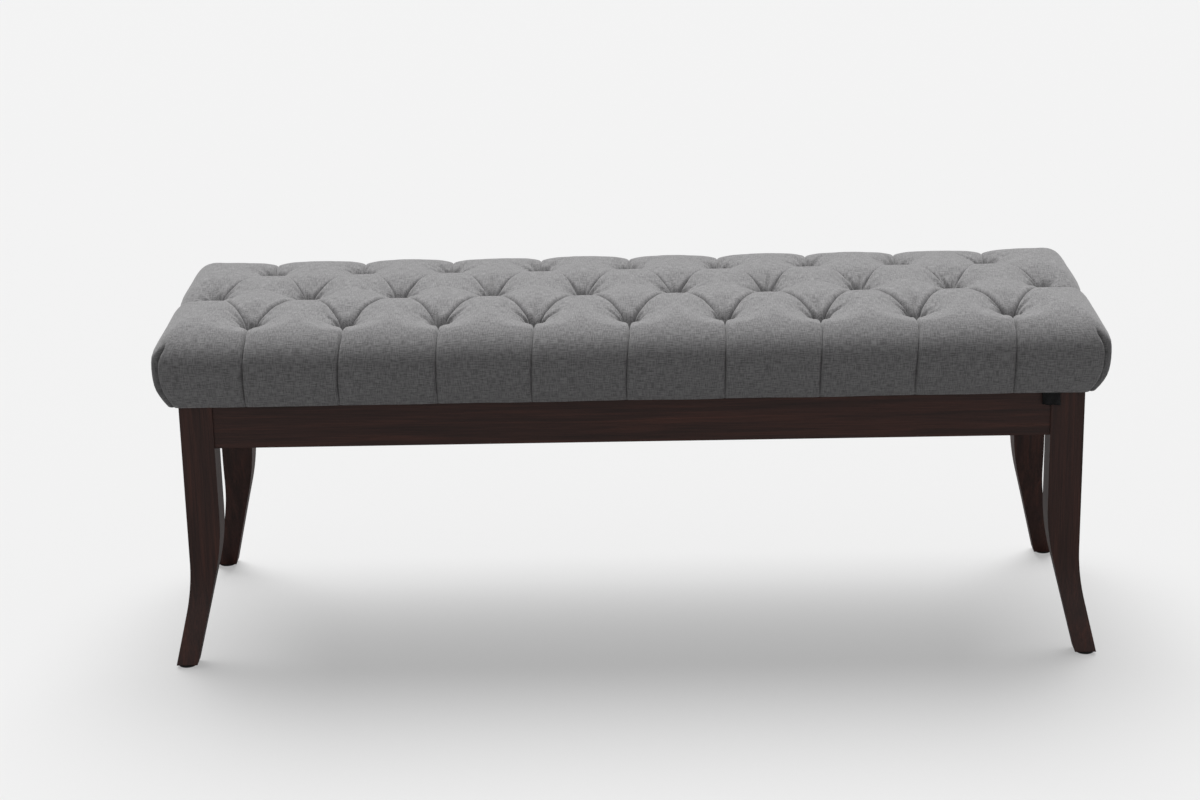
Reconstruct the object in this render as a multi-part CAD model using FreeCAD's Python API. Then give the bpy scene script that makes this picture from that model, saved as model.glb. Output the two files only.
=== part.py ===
import FreeCAD, Part
import math
import os

# Tufted bench. Millimetres, +Z up, origin on the floor under the middle of the bench.
# +X runs along the bench and the front faces -Y.

# Frame sizes
FRAME_TOP = 350.0
LEG_TOP_WIDTH = 42.0
FOOT_WIDTH = 27.0
FOOT_KICK_X = 24.3
FOOT_KICK_Y = 20.0
OUTER_KNEE_HEIGHT = 104.0
INNER_KNEE_HEIGHT = 163.0
KNEE_RADIUS = 310.0
APRON_HEIGHT = 57.5
APRON_THICKNESS = 22.0
APRON_SETBACK = 2.0

# Feet
GLIDE_DIAMETER = 22.0
GLIDE_HEIGHT = 4.0
GLIDE_NAIL_DIAMETER = 3.0
GLIDE_NAIL_LENGTH = 16.0

# Joinery
DOWEL_DIAMETER = 10.0
DOWEL_LENGTH = 40.0
DOWEL_EDGE_MARGIN = 15.0
RAIL_DOWEL_DIAMETER = 8.0
RAIL_DOWEL_LENGTH = 34.0
RAIL_DOWEL_DEPTH = 14.0
RAIL_DOWEL_SPACING = 20.0
RAIL_WIDTH = 40.0
RAIL_THICKNESS = 20.0
BLOCK_LEG_LENGTH = 72.0
BLOCK_HEIGHT = 46.0
BLOCK_TOP_GAP = 3.0
BOLT_DIAMETER = 8.0
BOLT_DEPTH_IN_LEG = 25.0
BOLT_STICK_OUT = 14.0
BOLT_CLEARANCE = 0.5
WASHER_DIAMETER = 22.0
WASHER_THICKNESS = 1.6
NUT_WIDTH = 13.0
NUT_THICKNESS = 6.5
SCREW_DIAMETER = 4.0
SCREW_HEAD_DIAMETER = 8.0
SCREW_HEAD_HEIGHT = 3.0
SCREW_CLEARANCE = 1.0
RAIL_IN_PITCHES = 1.75
BOARD_SCREW_IN_ROWS = 0.75
BOARD_SCREW_LENGTH = 30.0
BLOCK_SCREW_LENGTH = 26.0
BLOCK_SCREW_OFFSET = 54.0
BLOCK_SCREW_SEAT = 12.0

# Seat
COVER_THICKNESS = 1.2
SOFT_CLEARANCE = 0.3
BOARD_THICKNESS = 15.0
BOARD_MARGIN = 3.0
BOARD_END_MARGIN = 24.0
CUSHION_TOP = 456.0
END_BORDER = 56.0
SIDE_BORDER = 75.0
END_OVERHANG = 26.8
SIDE_OVERHANG = 23.7
BOTTOM_TUCK = 17.0
SHOULDER_TUCK = 14.0
SHOULDER_DROP = 19.0
TUFT_DEPTH = 44.0
VALLEY_DEPTH = 5.0
TUFT_PITCH = 120.0
ROW_SPACING = 120.0
FRONT_ROW_COUNT = 9
POCKET_HALF_WIDTH = 8.0
POCKET_POWER = 3
MIDDLE_POWER = 4
LEAST_FLAT = 2.0
LEAST_RISE = 0.02
FACE_DRAW = 2.0
CROWN_DRAW = 6.0
FACE_BULGE_RISE = 8.0

# Rounded ends of the seat, as shares of the run from the last tuft's pocket to the end
END_VALLEY_RUN = 0.6
END_DROP_START = 0.45
END_FLAT_RUN = 0.5
END_FLAT_LEFT = 0.3
END_STATIONS = (0.3, 0.55, 0.76, 0.89, 0.97, 1.0)
END_DROP = 30.0
END_CROWN_FALL = 4.0
END_TOP_CURL = 20.0
END_BOTTOM_CURL = 30.0
END_FACE_CURL = 18.0
CURL_POWER = 10
CURL_REACH = 0.985

# Buttons, twine and anchors
BUTTON_DIAMETER = 14.0
BUTTON_EDGE = 2.0
BUTTON_HEIGHT = 4.5
TWINE_DIAMETER = 1.6
TWINE_CLEARANCE = 0.4
TWINE_HOLE_IN_BOARD = 5.0
ANCHOR_DIAMETER = 10.0
ANCHOR_THICKNESS = 2.0

# Bottom cloth, staples and label
CLOTH_THICKNESS = 0.6
CLOTH_MARGIN = 6.0
STAPLE_CROWN = 10.0
STAPLE_WIRE = 0.8
STAPLE_LEG = 7.0
STAPLE_SPACING = 96.0
STAPLE_COUNT = 10
STAPLE_INSET = 8.0
STAPLE_CLEARANCE = 7.3
LABEL_FROM_END = 43.2
LABEL_WIDTH = 22.0
LABEL_HEIGHT = 16.0
LABEL_THICKNESS = 0.8
LABEL_STAND_OFF = 2.5

# Sizes that follow from the tuft grid, and levels that follow from the sizes above
MIDDLE_ROW_COUNT = FRONT_ROW_COUNT + 1
LAST_TUFT = (MIDDLE_ROW_COUNT - 1) / 2 * TUFT_PITCH
CUSHION_HALF_LENGTH = LAST_TUFT + END_BORDER
CUSHION_HALF_DEPTH = ROW_SPACING + SIDE_BORDER
FRAME_HALF_LENGTH = CUSHION_HALF_LENGTH - END_OVERHANG
FRAME_HALF_DEPTH = CUSHION_HALF_DEPTH - SIDE_OVERHANG
RAIL_X = RAIL_IN_PITCHES * TUFT_PITCH
BOARD_SCREW_SPACING = BOARD_SCREW_IN_ROWS * ROW_SPACING
APRON_BOTTOM = FRAME_TOP - APRON_HEIGHT
BOARD_BOTTOM = FRAME_TOP + COVER_THICKNESS
BOARD_TOP = BOARD_BOTTOM + BOARD_THICKNESS
TUFT_LEVEL = CUSHION_TOP - TUFT_DEPTH
BUTTON_LEVEL = TUFT_LEVEL + SOFT_CLEARANCE
END_START = LAST_TUFT + POCKET_HALF_WIDTH
APRON_FACE_X = FRAME_HALF_LENGTH - APRON_SETBACK
APRON_FACE_Y = FRAME_HALF_DEPTH - APRON_SETBACK
APRON_INNER_X = APRON_FACE_X - APRON_THICKNESS
APRON_INNER_Y = APRON_FACE_Y - APRON_THICKNESS
LEG_INNER_X = FRAME_HALF_LENGTH - LEG_TOP_WIDTH
LEG_INNER_Y = FRAME_HALF_DEPTH - LEG_TOP_WIDTH
STAPLE_Y = APRON_INNER_Y - STAPLE_CLEARANCE
HEM_Y = STAPLE_Y - STAPLE_INSET
LABEL_CENTRE_X = FRAME_HALF_LENGTH - LABEL_FROM_END
CORNERS = {"front_left": (-1, -1), "front_right": (1, -1), "back_left": (-1, 1), "back_right": (1, 1)}


def vec(x, y, z):
    return FreeCAD.Vector(x, y, z)


def box(x0, x1, y0, y1, z0, z1):
    low = vec(min(x0, x1), min(y0, y1), min(z0, z1))
    return Part.makeBox(abs(x1 - x0), abs(y1 - y0), abs(z1 - z0), low)


def rod(start, direction, diameter, length):
    return Part.makeCylinder(diameter / 2, length, start, direction)


def save(name, shapes):
    shape = shapes[0] if len(shapes) == 1 else Part.makeCompound(shapes)
    shape.exportStep("parts/" + name + ".step")


# A leg is square at the top and kicks outwards near the floor, alike in both directions.
def leg_face(outer_top, inner_top, kick):
    foot_outer = outer_top + kick
    foot_inner = foot_outer - FOOT_WIDTH

    def side(top, foot, knee):
        turn = math.atan2(foot - top, knee)
        reach = KNEE_RADIUS * math.tan(turn / 2)
        start = vec(top, 0, knee + reach)
        end = vec(top + reach * math.sin(turn), 0, knee - reach * math.cos(turn))
        middle = vec(top + KNEE_RADIUS * (1 - math.cos(turn / 2)), 0,
                     knee + reach - KNEE_RADIUS * math.sin(turn / 2))
        return start, middle, end

    outer_start, outer_middle, outer_end = side(outer_top, foot_outer, OUTER_KNEE_HEIGHT)
    inner_start, inner_middle, inner_end = side(inner_top, foot_inner, INNER_KNEE_HEIGHT)
    return Part.Wire([
        Part.makeLine(vec(inner_top, 0, FRAME_TOP), vec(outer_top, 0, FRAME_TOP)),
        Part.makeLine(vec(outer_top, 0, FRAME_TOP), outer_start),
        Part.Arc(outer_start, outer_middle, outer_end).toShape(),
        Part.makeLine(outer_end, vec(foot_outer, 0, 0)),
        Part.makeLine(vec(foot_outer, 0, 0), vec(foot_inner, 0, 0)),
        Part.makeLine(vec(foot_inner, 0, 0), inner_end),
        Part.Arc(inner_end, inner_middle, inner_start).toShape(),
        Part.makeLine(inner_start, vec(inner_top, 0, FRAME_TOP)),
    ])


def leg_blank():
    along_x = Part.Face(leg_face(FRAME_HALF_LENGTH, LEG_INNER_X, FOOT_KICK_X))
    along_y = Part.Face(leg_face(FRAME_HALF_DEPTH, LEG_INNER_Y, FOOT_KICK_Y))
    depth = FRAME_HALF_DEPTH + 2 * FOOT_KICK_Y
    width = FRAME_HALF_LENGTH + 2 * FOOT_KICK_X
    first = along_x.extrude(vec(0, depth, 0))
    along_y.rotate(vec(0, 0, 0), vec(0, 0, 1), 90)
    second = along_y.extrude(vec(width, 0, 0))
    blank = first.common(second)
    return blank.cut(box(0, width, 0, depth, 0, GLIDE_HEIGHT))


def place(shape, corner):
    sx, sy = corner
    result = shape.copy()
    if sx < 0:
        result = result.mirror(vec(0, 0, 0), vec(1, 0, 0))
    if sy < 0:
        result = result.mirror(vec(0, 0, 0), vec(0, 1, 0))
    return result


# Dowels, two in each apron end, in the back right corner; the others are mirrored.
DOWEL_LEVELS = (APRON_BOTTOM + DOWEL_EDGE_MARGIN, FRAME_TOP - DOWEL_EDGE_MARGIN)
APRON_MID_X = APRON_FACE_X - APRON_THICKNESS / 2
APRON_MID_Y = APRON_FACE_Y - APRON_THICKNESS / 2


def corner_dowels():
    dowels = []
    for level in DOWEL_LEVELS:
        start = vec(LEG_INNER_X - DOWEL_LENGTH / 2, APRON_MID_Y, level)
        dowels.append(rod(start, vec(1, 0, 0), DOWEL_DIAMETER, DOWEL_LENGTH))
        start = vec(APRON_MID_X, LEG_INNER_Y - DOWEL_LENGTH / 2, level)
        dowels.append(rod(start, vec(0, 1, 0), DOWEL_DIAMETER, DOWEL_LENGTH))
    return dowels


# The hanger bolt runs on the diagonal from the block face into the leg's inner corner.
DIAGONAL = vec(1, 1, 0).normalize()
BLOCK_TOP = FRAME_TOP - BLOCK_TOP_GAP
BLOCK_BOTTOM = BLOCK_TOP - BLOCK_HEIGHT
BOLT_LEVEL = (DOWEL_LEVELS[0] + DOWEL_LEVELS[1]) / 2
BLOCK_FACE = vec(APRON_INNER_X - BLOCK_LEG_LENGTH / 2, APRON_INNER_Y - BLOCK_LEG_LENGTH / 2, BOLT_LEVEL)
LEG_CORNER = vec(LEG_INNER_X, LEG_INNER_Y, BOLT_LEVEL)


def bolt_shape(extra):
    start = BLOCK_FACE - DIAGONAL * BOLT_STICK_OUT
    length = BOLT_STICK_OUT + (LEG_CORNER - BLOCK_FACE).dot(DIAGONAL) + BOLT_DEPTH_IN_LEG
    return rod(start, DIAGONAL, BOLT_DIAMETER + extra, length)


def bolt_washer():
    ring = rod(BLOCK_FACE - DIAGONAL * WASHER_THICKNESS, DIAGONAL, WASHER_DIAMETER, WASHER_THICKNESS)
    return ring.cut(bolt_shape(BOLT_CLEARANCE))


def bolt_nut():
    base = BLOCK_FACE - DIAGONAL * (WASHER_THICKNESS + NUT_THICKNESS)
    radius = NUT_WIDTH / math.sqrt(3)
    up = vec(0, 0, 1)
    side = DIAGONAL.cross(up)
    points = []
    for i in range(7):
        angle = math.radians(60 * i)
        points.append(base + up * (radius * math.cos(angle)) + side * (radius * math.sin(angle)))
    prism = Part.Face(Part.makePolygon(points)).extrude(DIAGONAL * NUT_THICKNESS)
    return prism.cut(bolt_shape(0))


def block_screws(extra):
    level = BLOCK_BOTTOM + BLOCK_SCREW_SEAT
    screws = []
    for along_x in (True, False):
        if along_x:
            seat = vec(APRON_INNER_X - BLOCK_SCREW_SEAT, APRON_INNER_Y - BLOCK_SCREW_OFFSET, level)
            axis = vec(1, 0, 0)
        else:
            seat = vec(APRON_INNER_X - BLOCK_SCREW_OFFSET, APRON_INNER_Y - BLOCK_SCREW_SEAT, level)
            axis = vec(0, 1, 0)
        shank = rod(seat, axis, SCREW_DIAMETER, BLOCK_SCREW_LENGTH)
        head_length = BLOCK_LEG_LENGTH if extra else SCREW_HEAD_HEIGHT
        head = rod(seat - axis * head_length, axis, SCREW_HEAD_DIAMETER + extra, head_length)
        screws.append(shank.fuse(head))
    return screws


def corner_block():
    x0 = APRON_INNER_X
    y0 = APRON_INNER_Y
    reach = BLOCK_LEG_LENGTH
    outline = [vec(x0, y0, BLOCK_BOTTOM), vec(x0 - reach, y0, BLOCK_BOTTOM),
               vec(x0, y0 - reach, BLOCK_BOTTOM), vec(x0, y0, BLOCK_BOTTOM)]
    block = Part.Face(Part.makePolygon(outline)).extrude(vec(0, 0, BLOCK_HEIGHT))
    block = block.cut(box(LEG_INNER_X, x0, LEG_INNER_Y, y0, BLOCK_BOTTOM, BLOCK_TOP))
    block = block.cut(bolt_shape(BOLT_CLEARANCE))
    for screw in block_screws(SCREW_CLEARANCE):
        block = block.cut(screw)
    return block


# Cross rails stiffen the long aprons and carry the board.
def rail_dowels():
    dowels = []
    level = FRAME_TOP - RAIL_THICKNESS / 2
    for sx in (-1, 1):
        for offset in (-RAIL_DOWEL_SPACING / 2, RAIL_DOWEL_SPACING / 2):
            for sy in (-1, 1):
                start = vec(sx * RAIL_X + offset, sy * (APRON_INNER_Y + RAIL_DOWEL_DEPTH), level)
                dowels.append(rod(start, vec(0, -sy, 0), RAIL_DOWEL_DIAMETER, RAIL_DOWEL_LENGTH))
    return dowels


def board_screws():
    screws = []
    for sx in (-1, 1):
        for y in (-BOARD_SCREW_SPACING, 0, BOARD_SCREW_SPACING):
            base = vec(sx * RAIL_X, y, FRAME_TOP - RAIL_THICKNESS)
            head = rod(base, vec(0, 0, 1), SCREW_HEAD_DIAMETER, SCREW_HEAD_HEIGHT)
            screws.append(head.fuse(rod(base, vec(0, 0, 1), SCREW_DIAMETER, BOARD_SCREW_LENGTH)))
    return screws


# Tuft places: a front and a back row, and a middle row shifted by half a pitch.
def tuft_places():
    places = []
    for i in range(FRONT_ROW_COUNT):
        x = (i - (FRONT_ROW_COUNT - 1) / 2) * TUFT_PITCH
        places.append(("front", x, -ROW_SPACING))
        places.append(("back", x, ROW_SPACING))
    for i in range(MIDDLE_ROW_COUNT):
        places.append(("middle", (i - (MIDDLE_ROW_COUNT - 1) / 2) * TUFT_PITCH, 0.0))
    return places


# One cross-section of the cushion: a crowned, tufted outline at a distance x along it.
# It is drawn in by inset, so that the same form gives the cover and the foam inside.
def cushion_section(x, inset):
    along = abs(x)
    k = max(0.0, (along - END_START) / (CUSHION_HALF_LENGTH - inset - END_START))
    phase = abs((along + TUFT_PITCH / 2) % TUFT_PITCH - TUFT_PITCH / 2)
    t = (phase - POCKET_HALF_WIDTH) / (TUFT_PITCH / 2 - 2 * POCKET_HALF_WIDTH)
    t = 1.0 if k > 0 else min(1.0, max(0.0, t))
    pocket = abs(2 * t - 1) ** POCKET_POWER
    valley_y = ROW_SPACING * (1 - t)
    valley_z = CUSHION_TOP - VALLEY_DEPTH - (TUFT_DEPTH - VALLEY_DEPTH) * pocket
    middle_z = CUSHION_TOP - TUFT_DEPTH * t ** MIDDLE_POWER
    flat = LEAST_FLAT + (POCKET_HALF_WIDTH - LEAST_FLAT) * pocket
    face_y = CUSHION_HALF_DEPTH - FACE_DRAW * (1 - t)
    shoulder_y = CUSHION_HALF_DEPTH - SHOULDER_TUCK
    bottom_y = CUSHION_HALF_DEPTH - BOTTOM_TUCK
    shoulder_z = CUSHION_TOP - SHOULDER_DROP
    bottom_z = FRAME_TOP
    crown_z = CUSHION_TOP - CROWN_DRAW * (1 - t)
    if k > 0:
        rise = 1 - (1 - min(1.0, k / END_VALLEY_RUN)) ** 2
        drop = END_DROP * (max(0.0, k - END_DROP_START) / (1 - END_DROP_START)) ** 2
        valley_z = TUFT_LEVEL + (TUFT_DEPTH - CROWN_DRAW) * rise - drop
        middle_z = valley_z
        crown_z = CUSHION_TOP - drop - END_CROWN_FALL * k
        flat = POCKET_HALF_WIDTH * (1 - (1 - END_FLAT_LEFT) * min(1.0, k / END_FLAT_RUN))
        curl = 1 - math.sqrt(1 - (CURL_REACH * k) ** CURL_POWER)
        shoulder_z = shoulder_z - END_TOP_CURL * curl
        bottom_z = bottom_z + END_BOTTOM_CURL * curl
        face_y = face_y - END_FACE_CURL * curl
        shoulder_y = shoulder_y - END_FACE_CURL * curl
    inner = max(valley_y - flat, LEAST_FLAT)
    outer = max(valley_y + flat, inner + LEAST_FLAT)
    valley_z = valley_z - inset
    middle_z = max(middle_z - inset, valley_z + LEAST_RISE)
    crown_z = crown_z - inset
    shoulder_z = shoulder_z - inset / 2
    face_y = face_y - inset
    shoulder_y = shoulder_y - inset
    bottom_y = bottom_y - inset
    bottom_z = bottom_z + inset
    face_z = (bottom_z + shoulder_z) / 2 + FACE_BULGE_RISE
    crown_y = (outer + shoulder_y) / 2

    def at(y, z):
        return vec(x, y, z)

    top = [
        Part.Arc(at(-bottom_y, bottom_z), at(-face_y, face_z), at(-shoulder_y, shoulder_z)).toShape(),
        Part.Arc(at(-shoulder_y, shoulder_z), at(-crown_y, crown_z), at(-outer, valley_z)).toShape(),
        Part.makeLine(at(-outer, valley_z), at(-inner, valley_z)),
        Part.Arc(at(-inner, valley_z), at(0, middle_z), at(inner, valley_z)).toShape(),
        Part.makeLine(at(inner, valley_z), at(outer, valley_z)),
        Part.Arc(at(outer, valley_z), at(crown_y, crown_z), at(shoulder_y, shoulder_z)).toShape(),
        Part.Arc(at(shoulder_y, shoulder_z), at(face_y, face_z), at(bottom_y, bottom_z)).toShape(),
    ]
    return top, at(bottom_y, bottom_z), at(-bottom_y, bottom_z)


def cushion_stations(inset):
    stations = []
    steps = round(LAST_TUFT / (TUFT_PITCH / 2))
    for i in range(-steps, steps + 1):
        x = i * TUFT_PITCH / 2
        stations.append(x - POCKET_HALF_WIDTH)
        stations.append(x + POCKET_HALF_WIDTH)
        if i < steps:
            stations.append(x + TUFT_PITCH / 4)
    end_run = CUSHION_HALF_LENGTH - inset - END_START
    for share in END_STATIONS:
        stations.append(END_START + end_run * share)
        stations.append(-END_START - end_run * share)
    return sorted(stations)


def closed_section(x, inset):
    top, right, left = cushion_section(x, inset)
    return Part.Wire(top + [Part.makeLine(right, left)])


def cushion_form(inset):
    sections = [closed_section(x, inset) for x in cushion_stations(inset)]
    return Part.makeLoft(sections, True, True)


# The cover: a skin over the top and both long faces, turned under the board as a hem,
# and an end panel that closes each end.
def skin_section(x, hem_y):
    outside, outer_right, outer_left = cushion_section(x, 0.0)
    inside, inner_right, inner_left = cushion_section(x, COVER_THICKNESS)
    low = outer_right.z
    high = inner_right.z
    edges = list(outside)
    edges.append(Part.makeLine(outer_right, vec(x, hem_y, low)))
    edges.append(Part.makeLine(vec(x, hem_y, low), vec(x, hem_y, high)))
    edges.append(Part.makeLine(vec(x, hem_y, high), inner_right))
    edges.extend(reversed(inside))
    edges.append(Part.makeLine(inner_left, vec(x, -hem_y, high)))
    edges.append(Part.makeLine(vec(x, -hem_y, high), vec(x, -hem_y, low)))
    edges.append(Part.makeLine(vec(x, -hem_y, low), outer_left))
    return Part.Wire(Part.sortEdges(edges)[0])


def cover():
    stations = cushion_stations(COVER_THICKNESS)
    skin = Part.makeLoft([skin_section(x, HEM_Y) for x in stations], True, True)
    skin = skin.cut(Part.makeCompound(twine_rods(TWINE_CLEARANCE) + cover_staples()))
    panels = []
    for sx in (-1, 1):
        near = closed_section(sx * (CUSHION_HALF_LENGTH - COVER_THICKNESS), 0.0)
        far = closed_section(sx * CUSHION_HALF_LENGTH, 0.0)
        panels.append(Part.makeLoft([near, far], True, True))
    return [skin] + panels


# Twine from each button down through the foam and the board to an anchor washer.
def twine_rods(extra):
    rods = []
    for row, x, y in tuft_places():
        start = vec(x, y, BOARD_BOTTOM - ANCHOR_THICKNESS)
        length = BUTTON_LEVEL - start.z
        rods.append(rod(start, vec(0, 0, 1), TWINE_DIAMETER + extra, length))
    return rods


def anchors():
    washers = []
    for row, x, y in tuft_places():
        base = vec(x, y, BOARD_BOTTOM - ANCHOR_THICKNESS)
        washer = rod(base, vec(0, 0, 1), ANCHOR_DIAMETER, ANCHOR_THICKNESS)
        washers.append(washer.cut(rod(base, vec(0, 0, 1), TWINE_DIAMETER, ANCHOR_THICKNESS)))
    return washers


def button(x, y):
    radius = BUTTON_DIAMETER / 2
    rise = BUTTON_HEIGHT - BUTTON_EDGE
    dome_radius = (radius * radius + rise * rise) / (2 * rise)
    base = vec(x, y, BUTTON_LEVEL)
    disc = rod(base, vec(0, 0, 1), BUTTON_DIAMETER, BUTTON_HEIGHT)
    dome = Part.makeSphere(dome_radius, base + vec(0, 0, BUTTON_HEIGHT - dome_radius))
    return disc.common(dome)


# Plywood seat board with a twine hole under every tuft.
BOARD_HALF_X = CUSHION_HALF_LENGTH - BOARD_END_MARGIN
BOARD_HALF_Y = CUSHION_HALF_DEPTH - BOTTOM_TUCK - COVER_THICKNESS - BOARD_MARGIN


def board_box(extra):
    return box(-BOARD_HALF_X - extra, BOARD_HALF_X + extra, -BOARD_HALF_Y - extra,
               BOARD_HALF_Y + extra, BOARD_BOTTOM - extra, BOARD_TOP + extra)


def seat_board():
    board = board_box(0)
    holes = []
    for row, x, y in tuft_places():
        holes.append(rod(vec(x, y, BOARD_BOTTOM), vec(0, 0, 1), TWINE_HOLE_IN_BOARD, BOARD_THICKNESS))
    return board.cut(Part.makeCompound(holes + board_screws() + cover_staples()))


def foam():
    pad = cushion_form(COVER_THICKNESS + SOFT_CLEARANCE)
    pad = pad.cut(board_box(SOFT_CLEARANCE))
    return pad.cut(Part.makeCompound(twine_rods(TWINE_CLEARANCE)))


# Staples: the cover's hem to the board, and the bottom cloth to the frame.
def staple(x, y, level, along_x):
    half = STAPLE_CROWN / 2
    pieces = []
    if along_x:
        crown = box(x - half, x + half, y - STAPLE_WIRE / 2, y + STAPLE_WIRE / 2, level - STAPLE_WIRE, level)
    else:
        crown = box(x - STAPLE_WIRE / 2, x + STAPLE_WIRE / 2, y - half, y + half, level - STAPLE_WIRE, level)
    for end in (-1, 1):
        offset = end * (half - STAPLE_WIRE / 2)
        leg_x = x + offset if along_x else x
        leg_y = y if along_x else y + offset
        wire = STAPLE_WIRE / 2
        pieces.append(box(leg_x - wire, leg_x + wire, leg_y - wire, leg_y + wire, level - wire,
                          level + STAPLE_LEG))
    return crown.multiFuse(pieces).removeSplitter()


def cover_staples():
    result = []
    for i in range(STAPLE_COUNT):
        x = (i - (STAPLE_COUNT - 1) / 2) * STAPLE_SPACING
        for sy in (-1, 1):
            result.append(staple(x, sy * STAPLE_Y, FRAME_TOP, True))
    return result


CLOTH_BOTTOM = APRON_BOTTOM - CLOTH_THICKNESS


def cloth_staples():
    result = []
    for i in range(STAPLE_COUNT):
        x = (i - (STAPLE_COUNT - 1) / 2) * STAPLE_SPACING
        for sy in (-1, 1):
            result.append(staple(x, sy * APRON_MID_Y, CLOTH_BOTTOM, True))
    for sx in (-1, 1):
        for sy in (-1, 1):
            result.append(staple(sx * APRON_MID_X, sy * STAPLE_SPACING, CLOTH_BOTTOM, False))
    return result


def bottom_cloth():
    x1 = APRON_FACE_X - CLOTH_MARGIN
    y1 = APRON_FACE_Y - CLOTH_MARGIN
    sheet = box(-x1, x1, -y1, y1, CLOTH_BOTTOM, APRON_BOTTOM)
    for corner in CORNERS.values():
        notch = box(LEG_INNER_X - SOFT_CLEARANCE, x1, LEG_INNER_Y - SOFT_CLEARANCE, y1,
                    CLOTH_BOTTOM, APRON_BOTTOM)
        sheet = sheet.cut(place(notch, corner))
    return sheet.cut(Part.makeCompound(cloth_staples()))


def glide(corner):
    x = FRAME_HALF_LENGTH + FOOT_KICK_X - FOOT_WIDTH / 2
    y = FRAME_HALF_DEPTH + FOOT_KICK_Y - FOOT_WIDTH / 2
    up = vec(0, 0, 1)
    disc = rod(vec(x, y, 0), up, GLIDE_DIAMETER, GLIDE_HEIGHT)
    nail = rod(vec(x, y, GLIDE_HEIGHT / 2), up, GLIDE_NAIL_DIAMETER, GLIDE_HEIGHT / 2 + GLIDE_NAIL_LENGTH)
    return place(disc.fuse(nail), corner)


def leg(corner):
    shape = place(leg_blank(), corner)
    for tool in corner_dowels() + [bolt_shape(0)]:
        shape = shape.cut(place(tool, corner))
    return shape.cut(glide(corner))


def aprons():
    front = box(-LEG_INNER_X, LEG_INNER_X, -APRON_FACE_Y, -APRON_INNER_Y, APRON_BOTTOM, FRAME_TOP)
    right = box(APRON_INNER_X, APRON_FACE_X, -LEG_INNER_Y, LEG_INNER_Y, APRON_BOTTOM, FRAME_TOP)
    tools = rail_dowels() + cloth_staples()
    for corner in CORNERS.values():
        for tool in corner_dowels() + block_screws(0.0):
            tools.append(place(tool, corner))
    tools = Part.makeCompound(tools)
    return {
        "front": front.cut(tools),
        "back": front.mirror(vec(0, 0, 0), vec(0, 1, 0)).cut(tools),
        "right": right.cut(tools),
        "left": right.mirror(vec(0, 0, 0), vec(1, 0, 0)).cut(tools),
    }


def cross_rail(sx):
    x = sx * RAIL_X
    rail = box(x - RAIL_WIDTH / 2, x + RAIL_WIDTH / 2, -APRON_INNER_Y, APRON_INNER_Y,
               FRAME_TOP - RAIL_THICKNESS, FRAME_TOP)
    return rail.cut(Part.makeCompound(rail_dowels() + board_screws()))


# Plain woven tab that hangs from the front lower edge of the cover.
def label():
    y = -FRAME_HALF_DEPTH - LABEL_STAND_OFF
    return box(LABEL_CENTRE_X - LABEL_WIDTH / 2, LABEL_CENTRE_X + LABEL_WIDTH / 2,
               y - LABEL_THICKNESS, y, FRAME_TOP - LABEL_HEIGHT, FRAME_TOP)


os.makedirs("parts", exist_ok=True)

for corner_name, corner_signs in CORNERS.items():
    save("leg_" + corner_name, [leg(corner_signs)])
    save("foot_glide_" + corner_name, [glide(corner_signs)])
    save("corner_block_" + corner_name, [place(corner_block(), corner_signs)])

for apron_name, apron in aprons().items():
    save("apron_" + apron_name, [apron])

save("cross_rail_left", [cross_rail(-1)])
save("cross_rail_right", [cross_rail(1)])
save("apron_dowels", [place(dowel, corner) for corner in CORNERS.values() for dowel in corner_dowels()])
save("rail_dowels", rail_dowels())
save("hanger_bolts", [place(bolt_shape(0), corner) for corner in CORNERS.values()])
save("bolt_washers", [place(bolt_washer(), corner) for corner in CORNERS.values()])
save("bolt_nuts", [place(bolt_nut(), corner) for corner in CORNERS.values()])
save("corner_block_screws",
     [place(screw, corner) for corner in CORNERS.values() for screw in block_screws(0.0)])
save("board_screws", board_screws())
save("seat_board", [seat_board()])
save("foam_pad", [foam()])
save("cushion_cover", cover())
save("tufting_twine", twine_rods(0.0))
save("twine_anchors", anchors())
for row_name in ("front", "middle", "back"):
    save("tuft_buttons_" + row_name, [button(x, y) for row, x, y in tuft_places() if row == row_name])
save("cover_staples", cover_staples())
save("bottom_cloth", [bottom_cloth()])
save("cloth_staples", cloth_staples())
save("label_tab", [label()])
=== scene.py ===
import bmesh
import bpy
import math
import numpy as np
from mathutils import Matrix, Vector


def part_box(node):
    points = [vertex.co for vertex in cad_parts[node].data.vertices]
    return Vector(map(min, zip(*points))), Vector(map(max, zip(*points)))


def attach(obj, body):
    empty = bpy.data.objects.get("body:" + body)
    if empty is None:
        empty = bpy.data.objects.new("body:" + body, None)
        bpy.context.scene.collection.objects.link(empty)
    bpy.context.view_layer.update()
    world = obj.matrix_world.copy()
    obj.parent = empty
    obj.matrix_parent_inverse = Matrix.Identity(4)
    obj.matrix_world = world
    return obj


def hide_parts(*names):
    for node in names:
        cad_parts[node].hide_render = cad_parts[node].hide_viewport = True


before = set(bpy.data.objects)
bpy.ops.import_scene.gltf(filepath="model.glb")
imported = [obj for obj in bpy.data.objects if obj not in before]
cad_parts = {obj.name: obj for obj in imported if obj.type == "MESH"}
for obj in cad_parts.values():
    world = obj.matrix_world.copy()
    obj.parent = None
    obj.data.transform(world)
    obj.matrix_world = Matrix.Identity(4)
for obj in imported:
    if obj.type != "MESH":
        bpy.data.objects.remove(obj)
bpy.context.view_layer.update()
MM = 0.001


# Legs and aprons: solid hardwood, square-sawn, stained dark espresso brown and wiped with a
# satin lacquer. The stain sinks into the open grain, so fine dark streaks run along each
# piece, with a few reddish ones where the wood shows through.
def linear(hex_colour):
    values = []
    for i in (1, 3, 5):
        c = int(hex_colour[i:i + 2], 16) / 255
        values.append(c / 12.92 if c <= 0.04045 else ((c + 0.055) / 1.055) ** 2.4)
    return (*values, 1.0)


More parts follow.
